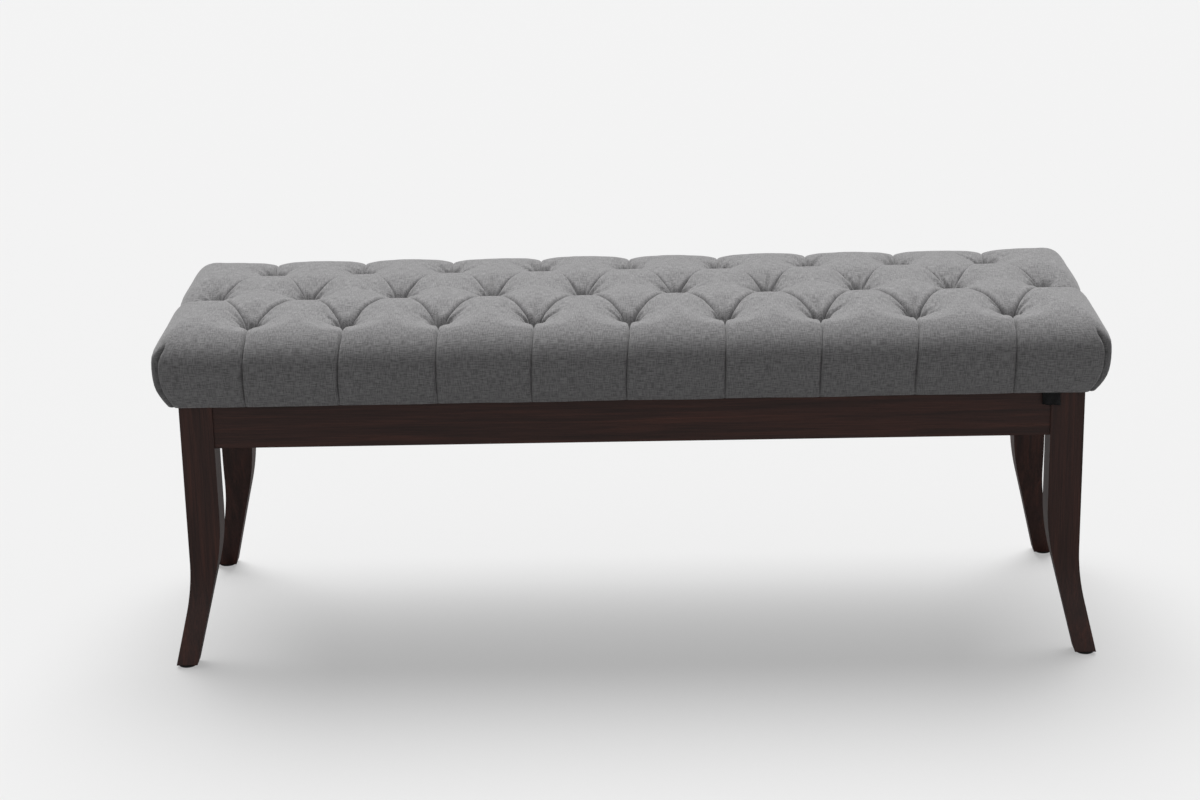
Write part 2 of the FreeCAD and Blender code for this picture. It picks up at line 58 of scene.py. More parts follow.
def new_material(name):
    material = bpy.data.materials.new(name)
    material.use_nodes = True
    material.node_tree.nodes.clear()
    return material


def add(material, kind, settings=None, links=None, stops=()):
    """Adds one node. Stops, where given, are the places and colours of its colour ramp."""
    made = material.node_tree.nodes.new(kind)
    for key, value in (settings or {}).items():
        if isinstance(key, int) or key in made.inputs:
            made.inputs[key].default_value = value
        else:
            setattr(made, key, value)
    for key, source in (links or {}).items():
        output = source if isinstance(source, bpy.types.NodeSocket) else source.outputs[0]
        material.node_tree.links.new(output, made.inputs[key])
    for number, (place, colour) in enumerate(stops):
        elements = made.color_ramp.elements
        element = elements[number] if number < 2 else elements.new(place)
        element.position = place
        element.color = linear(colour)
    return made


def dress(node, material):
    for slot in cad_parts[node].material_slots:
        slot.material = material


PORE_WIDTH = 1.4 * MM
PORE_RUN = 60 * MM
STREAK_WIDTH = 9 * MM
STREAK_RUN = 260 * MM
EDGE_ROUNDING = 1.2 * MM
ESPRESSO = ("#311c17", "#452a24", "#5e392f")
SATIN_ROUGHNESS = 0.5
LACQUER = 0.06


def timber(name, along, seed, colours, roughness, lacquer):
    """Wood whose grain runs along one axis. The seed moves the grain, so no two boards match."""
    material = new_material(name)
    place = add(material, "ShaderNodeTexCoord")
    scales = {}
    for detail, width, run in (("pores", PORE_WIDTH, PORE_RUN), ("streaks", STREAK_WIDTH, STREAK_RUN)):
        scale = [1 / width, 1 / width, 1 / width]
        scale["xyz".index(along)] = 1 / run
        scales[detail] = add(material, "ShaderNodeMapping",
                             {"Scale": scale, "Location": (seed, seed * 1.7, seed * 0.6)},
                             {"Vector": place.outputs["Object"]})
    pores = add(material, "ShaderNodeTexNoise", {"Scale": 1.0, "Detail": 3.0, "Roughness": 0.6},
                {"Vector": scales["pores"]})
    streaks = add(material, "ShaderNodeTexNoise", {"Scale": 1.0, "Detail": 4.0, "Distortion": 0.6},
                  {"Vector": scales["streaks"]})
    dark, middle, light = colours
    stain = add(material, "ShaderNodeValToRGB", links={0: streaks},
                stops=[(0.3, dark), (0.72, light), (0.52, middle)])
    grain = add(material, "ShaderNodeValToRGB", links={0: pores}, stops=[(0.35, "#b8b8b8"), (0.6, "#ffffff")])
    colour = add(material, "ShaderNodeMix", {"data_type": "RGBA", "blend_type": "MULTIPLY", "Factor": 0.8},
                 {6: stain, 7: grain})
    gloss = add(material, "ShaderNodeMapRange", {"To Min": roughness + 0.1, "To Max": roughness - 0.06},
                {"Value": pores})
    soft_edge = add(material, "ShaderNodeBevel", {"samples": 4, "Radius": EDGE_ROUNDING})
    relief = add(material, "ShaderNodeBump", {"Strength": 0.3, "Distance": 0.25 * MM},
                 {"Height": pores, "Normal": soft_edge})
    wood = add(material, "ShaderNodeBsdfPrincipled",
               {"IOR": 1.5, "Specular IOR Level": 0.4, "Coat Weight": lacquer, "Coat Roughness": 0.3},
               {"Base Color": colour.outputs[2], "Roughness": gloss, "Normal": relief})
    add(material, "ShaderNodeOutputMaterial", links={"Surface": wood})
    return material


CORNERS = ("front_left", "front_right", "back_left", "back_right")
for number, corner in enumerate(CORNERS):
    dress("leg_" + corner, timber("espresso_stained_leg_" + corner, "z", 3.1 * number, ESPRESSO,
                                  SATIN_ROUGHNESS, LACQUER))
for number, side in enumerate(("front", "back")):
    dress("apron_" + side, timber("espresso_stained_apron_" + side, "x", 20 + 5.3 * number, ESPRESSO,
                                  SATIN_ROUGHNESS, LACQUER))
for number, side in enumerate(("left", "right")):
    dress("apron_" + side, timber("espresso_stained_apron_" + side, "y", 40 + 5.3 * number, ESPRESSO,
                                  SATIN_ROUGHNESS, LACQUER))


# Joinery: fluted beech dowels glued into the apron ends, and unfinished rubberwood corner
# blocks and cross rails inside the frame. Bare sanded wood is pale and matt.
BEECH = ("#b98a5c", "#cda377", "#dcb98e")
RUBBERWOOD = ("#bb9a68", "#cfb183", "#dec59c")
TURNED_ROUGHNESS = 0.62
SANDED_ROUGHNESS = 0.66
NO_LACQUER = 0.0
dress("apron_dowels", timber("bare_beech_apron_dowels", "x", 61.0, BEECH, TURNED_ROUGHNESS, NO_LACQUER))
dress("rail_dowels", timber("bare_beech_rail_dowels", "y", 64.0, BEECH, TURNED_ROUGHNESS, NO_LACQUER))
for number, corner in enumerate(CORNERS):
    dress("corner_block_" + corner, timber("sanded_rubberwood_block_" + corner, "x", 70 + 2.9 * number,
                                           RUBBERWOOD, SANDED_ROUGHNESS, NO_LACQUER))
for number, side in enumerate(("left", "right")):
    dress("cross_rail_" + side, timber("sanded_rubberwood_rail_" + side, "y", 90 + 4.3 * number,
                                       RUBBERWOOD, SANDED_ROUGHNESS, NO_LACQUER))


# Hanger bolts, washers, nuts and screws: cold-formed steel. The bolt set is bright zinc
# plated, the screws are zinc plated and yellow passivated, so each has a faint mottle.
MOTTLE = 1.5 * MM


def plated_steel(name, dark, light, roughness):
    material = new_material(name)
    place = add(material, "ShaderNodeTexCoord")
    mottle = add(material, "ShaderNodeTexNoise", {"Scale": 1 / MOTTLE, "Detail": 2.0},
                 {"Vector": place.outputs["Object"]})
    colour = add(material, "ShaderNodeValToRGB", links={0: mottle}, stops=[(0.35, dark), (0.65, light)])
    gloss = add(material, "ShaderNodeMapRange", {"To Min": roughness - 0.06, "To Max": roughness + 0.08},
                {"Value": mottle})
    relief = add(material, "ShaderNodeBump", {"Strength": 0.15, "Distance": 0.05 * MM}, {"Height": mottle})
    steel = add(material, "ShaderNodeBsdfPrincipled", {"Metallic": 1.0},
                {"Base Color": colour, "Roughness": gloss, "Normal": relief})
    add(material, "ShaderNodeOutputMaterial", links={"Surface": steel})
    return material


bright_zinc = plated_steel("bright_zinc_plated_steel", "#9c9fa3", "#c3c6ca", 0.32)
yellow_zinc = plated_steel("yellow_passivated_steel", "#94793a", "#bda564", 0.36)
for node in ("hanger_bolts", "bolt_washers", "bolt_nuts"):
    dress(node, bright_zinc)
for node in ("corner_block_screws", "board_screws"):
    dress(node, yellow_zinc)


# Foot glides and twine anchors: injection-moulded nylon, nailed under the feet and threaded
# on the twine. Spark-eroded moulds leave a fine matt grain.
MOULD_GRAIN = 0.5 * MM
CLOUD = 6 * MM


def moulded_nylon(name, dark, light):
    material = new_material(name)
    place = add(material, "ShaderNodeTexCoord")
    pits = add(material, "ShaderNodeTexVoronoi", {"Scale": 1 / MOULD_GRAIN},
               {"Vector": place.outputs["Object"]})
    cloud = add(material, "ShaderNodeTexNoise", {"Scale": 1 / CLOUD, "Detail": 2.0},
                {"Vector": place.outputs["Object"]})
    colour = add(material, "ShaderNodeValToRGB", links={0: cloud}, stops=[(0.3, dark), (0.7, light)])
    relief = add(material, "ShaderNodeBump", {"Strength": 0.3, "Distance": 0.04 * MM}, {"Height": pits})
    nylon = add(material, "ShaderNodeBsdfPrincipled", {"Roughness": 0.48, "IOR": 1.53},
                {"Base Color": colour, "Normal": relief})
    add(material, "ShaderNodeOutputMaterial", links={"Surface": nylon})
    return material


black_nylon = moulded_nylon("black_moulded_nylon", "#191817", "#242220")
for corner in CORNERS:
    dress("foot_glide_" + corner, black_nylon)
dress("twine_anchors", moulded_nylon("natural_moulded_nylon", "#cfccc2", "#dedbd1"))


# Seat board: plywood of thin birch veneers, glued crosswise and sawn to size. Its edges show
# the plies as light and dark lines, its faces the peeled grain.
PLY = 1.4 * MM
PEEL_WIDTH = 14 * MM
PEEL_RUN = 220 * MM
board = new_material("sawn_birch_plywood")
board_place = add(board, "ShaderNodeTexCoord")
plies = add(board, "ShaderNodeTexWave",
            {"bands_direction": "Z", "Scale": 1 / (PLY * 2 * math.pi), "Distortion": 0.2},
            {"Vector": board_place.outputs["Object"]})
peel_scale = add(board, "ShaderNodeMapping", {"Scale": (1 / PEEL_RUN, 1 / PEEL_WIDTH, 1 / PEEL_WIDTH)},
                 {"Vector": board_place.outputs["Object"]})
peel = add(board, "ShaderNodeTexNoise", {"Scale": 1.0, "Detail": 4.0, "Distortion": 1.2},
           {"Vector": peel_scale})
birch = add(board, "ShaderNodeValToRGB", links={0: peel}, stops=[(0.3, "#bf9868"), (0.7, "#dcbf93")])
glue_lines = add(board, "ShaderNodeValToRGB", links={0: plies}, stops=[(0.3, "#a58a6c"), (0.6, "#ffffff")])
board_colour = add(board, "ShaderNodeMix", {"data_type": "RGBA", "blend_type": "MULTIPLY", "Factor": 0.55},
                   {6: birch, 7: glue_lines})
board_relief = add(board, "ShaderNodeBump", {"Strength": 0.3, "Distance": 0.2 * MM}, {"Height": peel})
plywood = add(board, "ShaderNodeBsdfPrincipled", {"Roughness": 0.7, "IOR": 1.5},
              {"Base Color": board_colour.outputs[2], "Normal": board_relief})
add(board, "ShaderNodeOutputMaterial", links={"Surface": plywood})
dress("seat_board", board)


# Cover: mid-grey melange cloth, plain-woven from light and dark polyester yarn, pulled over
# the foam and tied down at 28 tufts. The spare cloth is folded into pleats between the tufts,
# down the faces and at the corners, and stapled under the board. Its sizes are in mm.
FRONT_TUFTS = 9
MIDDLE_TUFTS = 10
PITCH = 120.0
ROW = 120.0
LAST_FRONT = (FRONT_TUFTS - 1) / 2 * PITCH
LAST_MIDDLE = (MIDDLE_TUFTS - 1) / 2 * PITCH
HALF_LENGTH = 596.5
HALF_DEPTH = 197.5
TOP = 455.0
EQUATOR = 405.0
BOTTOM = 350.4
REACH_X = 64.0
REACH_Y = 85.0
TUCK_X = 12.0
TUCK_Y = 18.0
TUCK_POWER = 2.2
CORNER_POWER = 8.0
EDGE_POWER = 2.1
END_FULLNESS = 0.5


def base_form(u, v, h):
    """The plain crowned cushion at box coordinates, with its outward normal. The crown ends at
    the equator, and below it the sides draw in."""
    under = np.maximum(0, EQUATOR - h) / (EQUATOR - BOTTOM)
    level = np.maximum(h, EQUATOR)
    ox = np.maximum(np.abs(u) - (HALF_LENGTH - REACH_X), 0) / REACH_X
    oy = np.maximum(np.abs(v) - (HALF_DEPTH - REACH_Y), 0) / REACH_Y
    oz = (level - EQUATOR) / (TOP - EQUATOR)
    end_share = ox ** CORNER_POWER / (ox ** CORNER_POWER + oy ** CORNER_POWER + 1e-9)
    power = EDGE_POWER + END_FULLNESS * end_share
    flat = (ox ** CORNER_POWER + oy ** CORNER_POWER) ** (1 / CORNER_POWER)
    size = (flat ** power + oz ** power) ** (1 / power)
    ox, oy, oz, flat = ox / size, oy / size, oz / size, flat / size
    reach_x = REACH_X - TUCK_X * under ** TUCK_POWER
    reach_y = REACH_Y - TUCK_Y * under ** TUCK_POWER
    x = np.sign(u) * (np.minimum(np.abs(u), HALF_LENGTH - REACH_X) + reach_x * ox)
    y = np.sign(v) * (np.minimum(np.abs(v), HALF_DEPTH - REACH_Y) + reach_y * oy)
    z = np.where(h < EQUATOR, h, EQUATOR + (TOP - EQUATOR) * oz)
    side = np.maximum(flat, 1e-6) ** (power - CORNER_POWER)
    nx = np.sign(u) * side * ox ** (CORNER_POWER - 1) / REACH_X
    ny = np.sign(v) * side * oy ** (CORNER_POWER - 1) / REACH_Y
    nz = oz ** (power - 1) / (TOP - EQUATOR)
    length = np.maximum(np.sqrt(nx * nx + ny * ny + nz * nz), 1e-9)
    return np.stack([x, y, z], -1), np.stack([nx, ny, nz], -1) / length[..., None]


def wander(a, b, seed, size):
    """A slow, repeatable unevenness, since no two puffs of a hand-made cushion are alike. Each
    of its four waves runs its own way, shorter and lower than the one before."""
    total = 0
    for i in range(4):
        turn = seed * 1.7 + i * 2.4
        wave = size / (1 + 0.6 * i)
        along = (a * math.cos(turn) + b * math.sin(turn)) / wave
        total = total + np.sin(along * 2 * math.pi + seed + i * i) / (1 + i)
    return total / 2


tufts = []
for i in range(FRONT_TUFTS):
    tufts.append((-LAST_FRONT + i * PITCH, -ROW))
    tufts.append((-LAST_FRONT + i * PITCH, ROW))
for i in range(MIDDLE_TUFTS):
    tufts.append((-LAST_MIDDLE + i * PITCH, 0.0))

# Each pleat is a line from one place of the unrolled cloth to another, and its kind. The
# pleats down the faces and over the ends run on beyond the hem.
BEYOND = 400.0
pleats = []
for i in range(FRONT_TUFTS):
    x = -LAST_FRONT + i * PITCH
    for side, face in ((-1, "front"), (1, "back")):
        for step in (-1, 1):
            pleats.append(((x, side * ROW), (x + step * PITCH / 2, 0.0), face + " diagonal"))
        pleats.append(((x, side * ROW), (x, side * BEYOND), face + " upright"))
    pleats.append(((x - PITCH / 2, 0.0), (x + PITCH / 2, 0.0), "level"))
for side in (-1, 1):
    pleats.append(((side * LAST_MIDDLE, 0.0), (side * 2 * BEYOND, 0.0), "end"))


# A valley is the soft trough along a pleat, and a fold is the thin deep line at its bottom.
WIDE = 34.0
FRONT_VALLEY = 4.5
FRONT_FOLD = 10.0
BACK_VALLEY = 3.6
BACK_FOLD = 7.0
BACK_FOLD_START = 0.3
BACK_FOLD_GROWTH = 0.45
BUTTON_REACH = 8.0
BUTTON_FADE = 14.0
BACK_TUFT_FOLD = 2.5
BACK_TUFT_RUN = 14.0
LEVEL_VALLEY = 1.3
LEVEL_TUFT_VALLEY = 2.6
LEVEL_WIDTH = 18.0
LEVEL_FOLD = 0.5
LEVEL_TUFT_FOLD = 5.0
LEVEL_RUN = 20.0
UPRIGHT_TUFT_VALLEY = 3.0
UPRIGHT_RUN = 28.0
FRONT_UPRIGHT_VALLEY = 2.6
BACK_UPRIGHT_VALLEY = 3.6
BACK_UPRIGHT_WIDTH = 26.0
CREST_FOLD = 1.6
POCKET_FOLD = 9.0
POCKET_RUN = 30.0
FACE_FOLD = 7.0
FACE_START = 60.0
FACE_GROWTH = 40.0
END_VALLEY = 2.5
END_DIP = 8.0
END_DIP_PLACE = 38.0
END_DIP_RUN = 45.0
END_WIDTH = 46.0
END_FOLD = 1.5
END_TUFT_FOLD = 2.0
END_RUN = 30.0


def pleat_shape(kind, number, s, length):
    """Depth and width of a pleat's valley, and depth of its fold, at s along it."""
    uneven = 0.85 + 0.15 * math.sin(2.7 * number)
    if kind == "front diagonal":
        return FRONT_VALLEY * uneven, WIDE, FRONT_FOLD
    if kind == "back diagonal":
        growing = np.clip((s / length - BACK_FOLD_START) / BACK_FOLD_GROWTH, 0, 1) ** 2
        ending = np.clip((length - s - BUTTON_REACH) / BUTTON_FADE, 0, 1)
        by_tuft = BACK_TUFT_FOLD * np.exp(-s / BACK_TUFT_RUN)
        return BACK_VALLEY, WIDE, BACK_FOLD * uneven * growing * ending + by_tuft
    if kind == "level":
        near_tuft = np.exp(-np.minimum(s, length - s) / LEVEL_RUN)
        valley = LEVEL_VALLEY + LEVEL_TUFT_VALLEY * near_tuft
        return valley, LEVEL_WIDTH, LEVEL_FOLD + LEVEL_TUFT_FOLD * near_tuft * uneven
    if kind == "front upright":
        return FRONT_UPRIGHT_VALLEY + UPRIGHT_TUFT_VALLEY * np.exp(-s / UPRIGHT_RUN), WIDE, FRONT_FOLD
    if kind == "back upright":
        in_pocket = POCKET_FOLD * np.exp(-(s / POCKET_RUN) ** 2)
        on_face = FACE_FOLD * np.clip((s - FACE_START) / FACE_GROWTH, 0, 1)
        valley = BACK_UPRIGHT_VALLEY + UPRIGHT_TUFT_VALLEY * np.exp(-s / UPRIGHT_RUN)
        return valley, BACK_UPRIGHT_WIDTH, CREST_FOLD + in_pocket + on_face
    valley = END_VALLEY + END_DIP * np.exp(-((s - END_DIP_PLACE) / END_DIP_RUN) ** 2)
    return valley, END_WIDTH, END_FOLD + END_TUFT_FOLD * np.exp(-s / END_RUN)


# Round each tuft the cloth sinks in a wide dimple with a narrow hole for the button, and
# gathers into creases that run out from it, deepest on the side towards the back.
DIMPLE_DEPTH = 20.5
DIMPLE_RADIUS = 61.0
DIMPLE_POWER = 1.3
HOLE_DEPTH = 26.0
HOLE_RADIUS = 9.5
CREASES = 15
CREASE_SCATTER = 0.45
CREASE_DEPTH = 16.0
CREASE_REACH = 34.0
CREASE_REACH_SPREAD = 12.0
CREASE_WIDTH = 0.9
CREASE_WIDENING = 0.045
CREASE_START = 3.0
CREASE_GROWTH = 5.0
VALLEY_POWER = 1.9
MEETING_POWER = 1.7
SLIT_WIDTH = 1.15
UNEVEN_HEIGHT = 0.9
UNEVEN_SPAN = 260.0


def gathered_folds(number, dn, angle):
    """Share of the crease depth at distances dn and angles from a tuft."""
    folds = np.zeros_like(dn)
    for k in range(CREASES):
        turn = 2 * math.pi * (k + CREASE_SCATTER * math.sin(5.1 * k + 1.7 * number)) / CREASES
        reach = CREASE_REACH + CREASE_REACH_SPREAD * math.sin(2.3 * k + 4.1 * number)
        strength = 0.68 + 0.32 * math.sin(3.7 * k + 2.9 * number)
        across = 2 * dn * np.abs(np.sin((angle - turn) / 2))
        line = np.exp(-(across / (CREASE_WIDTH + CREASE_WIDENING * dn)) ** 2)
        folds += strength * line * np.clip(1 - dn / reach, 0, 1)
    return folds


def tucked_depth(u, v):
    """How far the cloth at unrolled place u, v is pulled below the plain crowned form."""
    pocket = np.zeros_like(u)
    gather = np.zeros_like(u)
    for number, (tx, ty) in enumerate(tufts):
        d = np.hypot(u - tx, v - ty)
        near = d < DIMPLE_RADIUS
        if not near.any():
            continue
        dn = d[near]
        dimple = DIMPLE_DEPTH * (1 - dn / DIMPLE_RADIUS) ** DIMPLE_POWER
        hole = HOLE_DEPTH * np.exp(-(dn / HOLE_RADIUS) ** 2)
        pocket[near] = np.maximum(pocket[near], dimple + hole)
        angle = np.arctan2(v[near] - ty, u[near] - tx)
        folds = gathered_folds(number, dn, angle)
        clear = np.clip((dn - CREASE_START) / CREASE_GROWTH, 0, 1)
        towards_back = 0.65 + 0.35 * np.sin(angle)
        gather[near] += CREASE_DEPTH * folds * clear * towards_back
    valley = np.zeros_like(u)
    slit = np.zeros_like(u)
    for number, (start, end, kind) in enumerate(pleats):
        dx, dy = end[0] - start[0], end[1] - start[1]
        length = math.hypot(dx, dy)
        s = ((u - start[0]) * dx + (v - start[1]) * dy) / length
        e = np.hypot(((u - start[0]) * dy - (v - start[1]) * dx) / length,
                     np.maximum(np.maximum(-s, s - length), 0))
        depth, width, cut = pleat_shape(kind, number, np.clip(s, 0, length), length)
        cross = np.clip(1 - e / width, 0, 1) ** VALLEY_POWER
        valley = np.maximum(valley, depth * cross)
        slit = np.maximum(slit, cut * np.exp(-e / SLIT_WIDTH))
    depth = (pocket ** MEETING_POWER + valley ** MEETING_POWER) ** (1 / MEETING_POWER)
    return depth + gather + slit + UNEVEN_HEIGHT * wander(u, v, 4.0, UNEVEN_SPAN)


# The folded corners: the front and back cloth is folded over the end cloth, so a bowed slit
# runs down each corner. Its front edge laps over it, and the end cloth swells out behind it.
CORNER_SLIT = 24.0
CORNER_SLIT_WIDTH = 1.7
CORNER_SLIT_TOP = 438.0
CORNER_SLIT_FADE = 16.0
CORNER_SLIT_PLACE = 4.0
CORNER_SLIT_BOW = 6.5
CORNER_SLIT_MIDDLE = EQUATOR - 8.0
CORNER_SLIT_HALF = 45.0
CORNER_STRIP = 14.0
CORNER_LIP = 3.0
CORNER_LAP = 1.6
LAP_PLACE = 3.0
LAP_WIDTH = 3.5
END_PUFF = 4.5
PUFF_REACH = 40.0
PUFF_FADE = 26.0
HEM_FADE = 12.0
HEM_DEPTH_SHARE = 0.35
HEM_LIFT = 0.6
HEM_SLANT = 0.9
HEM_WAVE = 0.5
HEM_WAVE_SPAN = 170.0
HEM_LIFT_HEIGHT = 14.0
EDGE_MARGIN = 0.01


def cloth_point(u, v, h):
    """Where the cloth of box coordinates u, v, h lies once pulled in, and its unrolled place."""
    point, normal = base_form(u, v, h)
    drop = TOP - h
    on_end = np.abs(u) > HALF_LENGTH - EDGE_MARGIN
    on_face = (np.abs(v) > HALF_DEPTH - EDGE_MARGIN) & ~on_end
    flat_u = u + np.where(on_end, drop, 0) * np.sign(u)
    flat_v = v + np.where(on_face, drop, 0) * np.sign(v)
    hem_fade = np.where(h < TOP - EDGE_MARGIN, np.clip((h - BOTTOM) / HEM_FADE, HEM_DEPTH_SHARE, 1), 1)
    from_end = HALF_LENGTH - np.abs(u)
    from_face = HALF_DEPTH - np.abs(v)
    folded = np.clip((CORNER_SLIT_TOP - h) / CORNER_SLIT_FADE, 0, 1)
    place = CORNER_SLIT_PLACE + CORNER_SLIT_BOW * ((h - CORNER_SLIT_MIDDLE) / CORNER_SLIT_HALF) ** 2
    slit = CORNER_SLIT * folded * np.exp(-np.hypot(from_end - place, from_face) / CORNER_SLIT_WIDTH)
    depth = tucked_depth(flat_u, flat_v) * hem_fade + slit
    point = point - normal * depth[..., None]
    low = np.clip((h - BOTTOM) / PUFF_FADE, 0, 1)
    swell = np.exp(-from_face / PUFF_REACH) * np.clip(1 - from_end / place, 0, 1) ** 0.6
    puff = END_PUFF * folded * low * swell
    over = np.maximum(from_end - place, 0) / CORNER_SLIT_WIDTH
    lip = CORNER_LIP * folded * over * np.exp(1 - over) * (from_face < EDGE_MARGIN)
    point[..., 0] += np.sign(u) * (puff + lip)
    lap = CORNER_LAP * folded * low * np.exp(-((from_end - place - LAP_PLACE) / LAP_WIDTH) ** 2)
    point[..., 1] += np.sign(v) * np.where(from_face < EDGE_MARGIN, lap, 0)
    uneven = HEM_LIFT + HEM_SLANT * u / HALF_LENGTH - HEM_WAVE * wander(u, v, 2.0, HEM_WAVE_SPAN)
    point[..., 2] += np.clip((BOTTOM + HEM_LIFT_HEIGHT - h) / HEM_LIFT_HEIGHT, 0, 1) * uneven
    return point, np.stack([flat_u, flat_v], -1)


# Pleat lips: the diamond's cloth is folded over its neighbour, so its edge stands a little
# proud and hangs over the slit.
LIP = 2.8
LIP_RISE = 2.2
RISE_PLACE = 3.5
RISE_WIDTH = 4.0
BACK_LIP_SHARE = 0.5
EDGE_LENGTH = math.hypot(PITCH / 2, ROW)
DIAMOND_HEIGHT = PITCH * ROW / EDGE_LENGTH
STEPS = 36
END_STEPS = 16
ROWS = 40
LEVELS = 7


def spread(count):
    """Shares from 0 to 1 that lie closer together towards both ends."""
    k = np.arange(count + 1) / count
    return 0.85 * (0.5 - 0.5 * np.cos(math.pi * k)) + 0.15 * k


def turned_edge(e):
    """How far cloth at distance e from a slit leans over it, as a share of the lip."""
    return (e / SLIT_WIDTH) * np.exp(1 - e / SLIT_WIDTH)


class Sheet:
    """Collects grids of points and faces into one mesh, to be welded along their edges."""

    def __init__(self):
        self.points, self.cloth, self.faces, self.count = [], [], [], 0

    def grid(self, points, cloth, flip):
        rows, columns = points.shape[:2]
        index = np.arange(rows * columns).reshape(rows, columns) + self.count
        quads = np.stack([index[:-1, :-1], index[:-1, 1:], index[1:, 1:], index[1:, :-1]], -1).reshape(-1, 4)
        self.faces.append(quads[:, ::-1] if flip else quads)
        self.points.append(points.reshape(-1, 3))
        self.cloth.append(cloth.reshape(-1, 2))
        self.count += rows * columns


cover = Sheet()
shares = spread(STEPS)
for i in range(FRONT_TUFTS):
    centre = -LAST_FRONT + i * PITCH
    a, b = np.meshgrid(shares, shares, indexing="ij")
    u = centre + (b - a) * PITCH / 2
    v = -ROW + (a + b) * ROW
    points, cloth = cloth_point(u, v, np.full_like(u, TOP))
    edges = (
        (b, a, -1, -1), (a, b, 1, -1),
        (1 - a, b, -1, 1), (1 - b, a, 1, 1),
    )
    for across, along, side_x, side_y in edges:
        e = across * DIAMOND_HEIGHT
        if side_y < 0:
            strength = np.sin(np.pi * along) ** 0.5
        else:
            strength = BACK_LIP_SHARE * np.sin(np.pi * along) * (1 - along)
        fold = strength * turned_edge(e)
        raised = strength * np.exp(-((e - RISE_PLACE) / RISE_WIDTH) ** 2) * np.clip(e / SLIT_WIDTH, 0, 1)
        points[..., 0] += LIP * fold * side_x * ROW / EDGE_LENGTH
        points[..., 1] += LIP * fold * side_y * PITCH / 2 / EDGE_LENGTH
        points[..., 2] += LIP_RISE * raised
    cover.grid(points, cloth, flip=True)

half_pitches = 2 * (MIDDLE_TUFTS - 1)
columns = np.concatenate([-LAST_MIDDLE + (i + shares[:-1]) * PITCH / 2 for i in range(half_pitches)])
corner_strip = np.arange(END_STEPS + 1) / END_STEPS * CORNER_STRIP
inner_end = HALF_LENGTH - CORNER_STRIP
end_columns = np.concatenate([LAST_MIDDLE + spread(END_STEPS)[:-1] * (inner_end - LAST_MIDDLE),
                              inner_end + corner_strip])
columns = np.concatenate([-end_columns[:0:-1], columns, end_columns])
zigzag = np.abs((columns + LAST_MIDDLE) % PITCH - PITCH / 2) / (PITCH / 2)
valley_line = np.where(np.abs(columns) >= LAST_MIDDLE, 0.0, ROW * (1 - zigzag))
k = np.arange(ROWS + 1) / ROWS
row_shares = 0.75 * k ** 1.7 + 0.25 * k
steps_down = np.arange(1, LEVELS + 1) / LEVELS
levels = np.concatenate([TOP - (TOP - EQUATOR) * steps_down, EQUATOR - (EQUATOR - BOTTOM) * steps_down])

# The pleats of the long faces lean a little to one side, and the cloth on the left of each is
# folded over the cloth on its right.
PLEAT_LEAN = 6.0
LEAN_REACH = 28.0
FACE_LIP = 1.6


def upright_folds(points, u, h):
    """Leans the pleats of a long face, and turns the cloth over along each."""
    from_pleat = (u + LAST_FRONT + PITCH / 2) % PITCH - PITCH / 2
    number = np.round((u + LAST_FRONT) / PITCH)
    down = np.clip((TOP - h) / (TOP - BOTTOM), 0, 1)
    lean = PLEAT_LEAN * (0.7 + 0.3 * np.sin(2.1 * number)) * np.sin(down * math.pi * 0.6) ** 1.3
    e = np.maximum(-from_pleat, 0)
    fold = FACE_LIP * turned_edge(e) * np.sin(down * math.pi / 2) ** 0.5
    inside = np.abs(u) < LAST_FRONT + PITCH / 2
    points[..., 0] += inside * (fold - lean * np.exp(-(from_pleat / LEAN_REACH) ** 2))


# Under the edge the cloth rolls inwards and lies flat as a hem between frame and board.
HEM_LEVEL = 350.6
HEM_TURN = 12.0
ROLL_IN = 1.8
ROLL_DROP = 0.9
HEM_IN = (5.0, 12.0)
HEM_RINGS = 1 + len(HEM_IN)


def hem_rings(edge_points, u, v):
    """Rows of points that carry the lower edge of the cloth inwards."""
    inward_x = -np.sign(u) * np.clip(1 - (HALF_LENGTH - np.abs(u)) / HEM_TURN, 0, 1)
    inward_y = -np.sign(v) * np.clip(1 - (HALF_DEPTH - np.abs(v)) / HEM_TURN, 0, 1)
    rings = []
    for distance in (ROLL_IN, *HEM_IN):
        ring = edge_points.copy()
        ring[..., 0] += inward_x * distance
        ring[..., 1] += inward_y * distance
        ring[..., 2] = ring[..., 2] - ROLL_DROP if distance == ROLL_IN else HEM_LEVEL
        rings.append(ring)
    return np.concatenate(rings)


for side in (-1, 1):
    u, share = np.meshgrid(columns, row_shares, indexing="xy")
    v = side * (valley_line + (HALF_DEPTH - valley_line) * share)
    points, cloth = cloth_point(u, v, np.full_like(u, TOP))
    face_u, face_h = np.meshgrid(columns, levels, indexing="xy")
    face_v = np.full_like(face_u, side * HALF_DEPTH)
    face_points, face_cloth = cloth_point(face_u, face_v, face_h)
    upright_folds(face_points, face_u, face_h)
    hem = hem_rings(face_points[-1:], face_u[-1:], face_v[-1:])
    cover.grid(np.concatenate([points, face_points, hem]),
               np.concatenate([cloth, face_cloth, face_cloth[-1:].repeat(HEM_RINGS, 0)]), flip=side > 0)

end_line = HALF_DEPTH * np.concatenate([-row_shares[::-1], row_shares[1:]])
for end in (-1, 1):
    v, h = np.meshgrid(end_line, np.concatenate([[TOP], levels]), indexing="xy")
    u = np.full_like(v, end * HALF_LENGTH)
    points, cloth = cloth_point(u, v, h)
    hem = hem_rings(points[-1:], u[-1:], v[-1:])
    cover.grid(np.concatenate([points, hem]),
               np.concatenate([cloth, cloth[-1:].repeat(HEM_RINGS, 0)]), flip=end > 0)

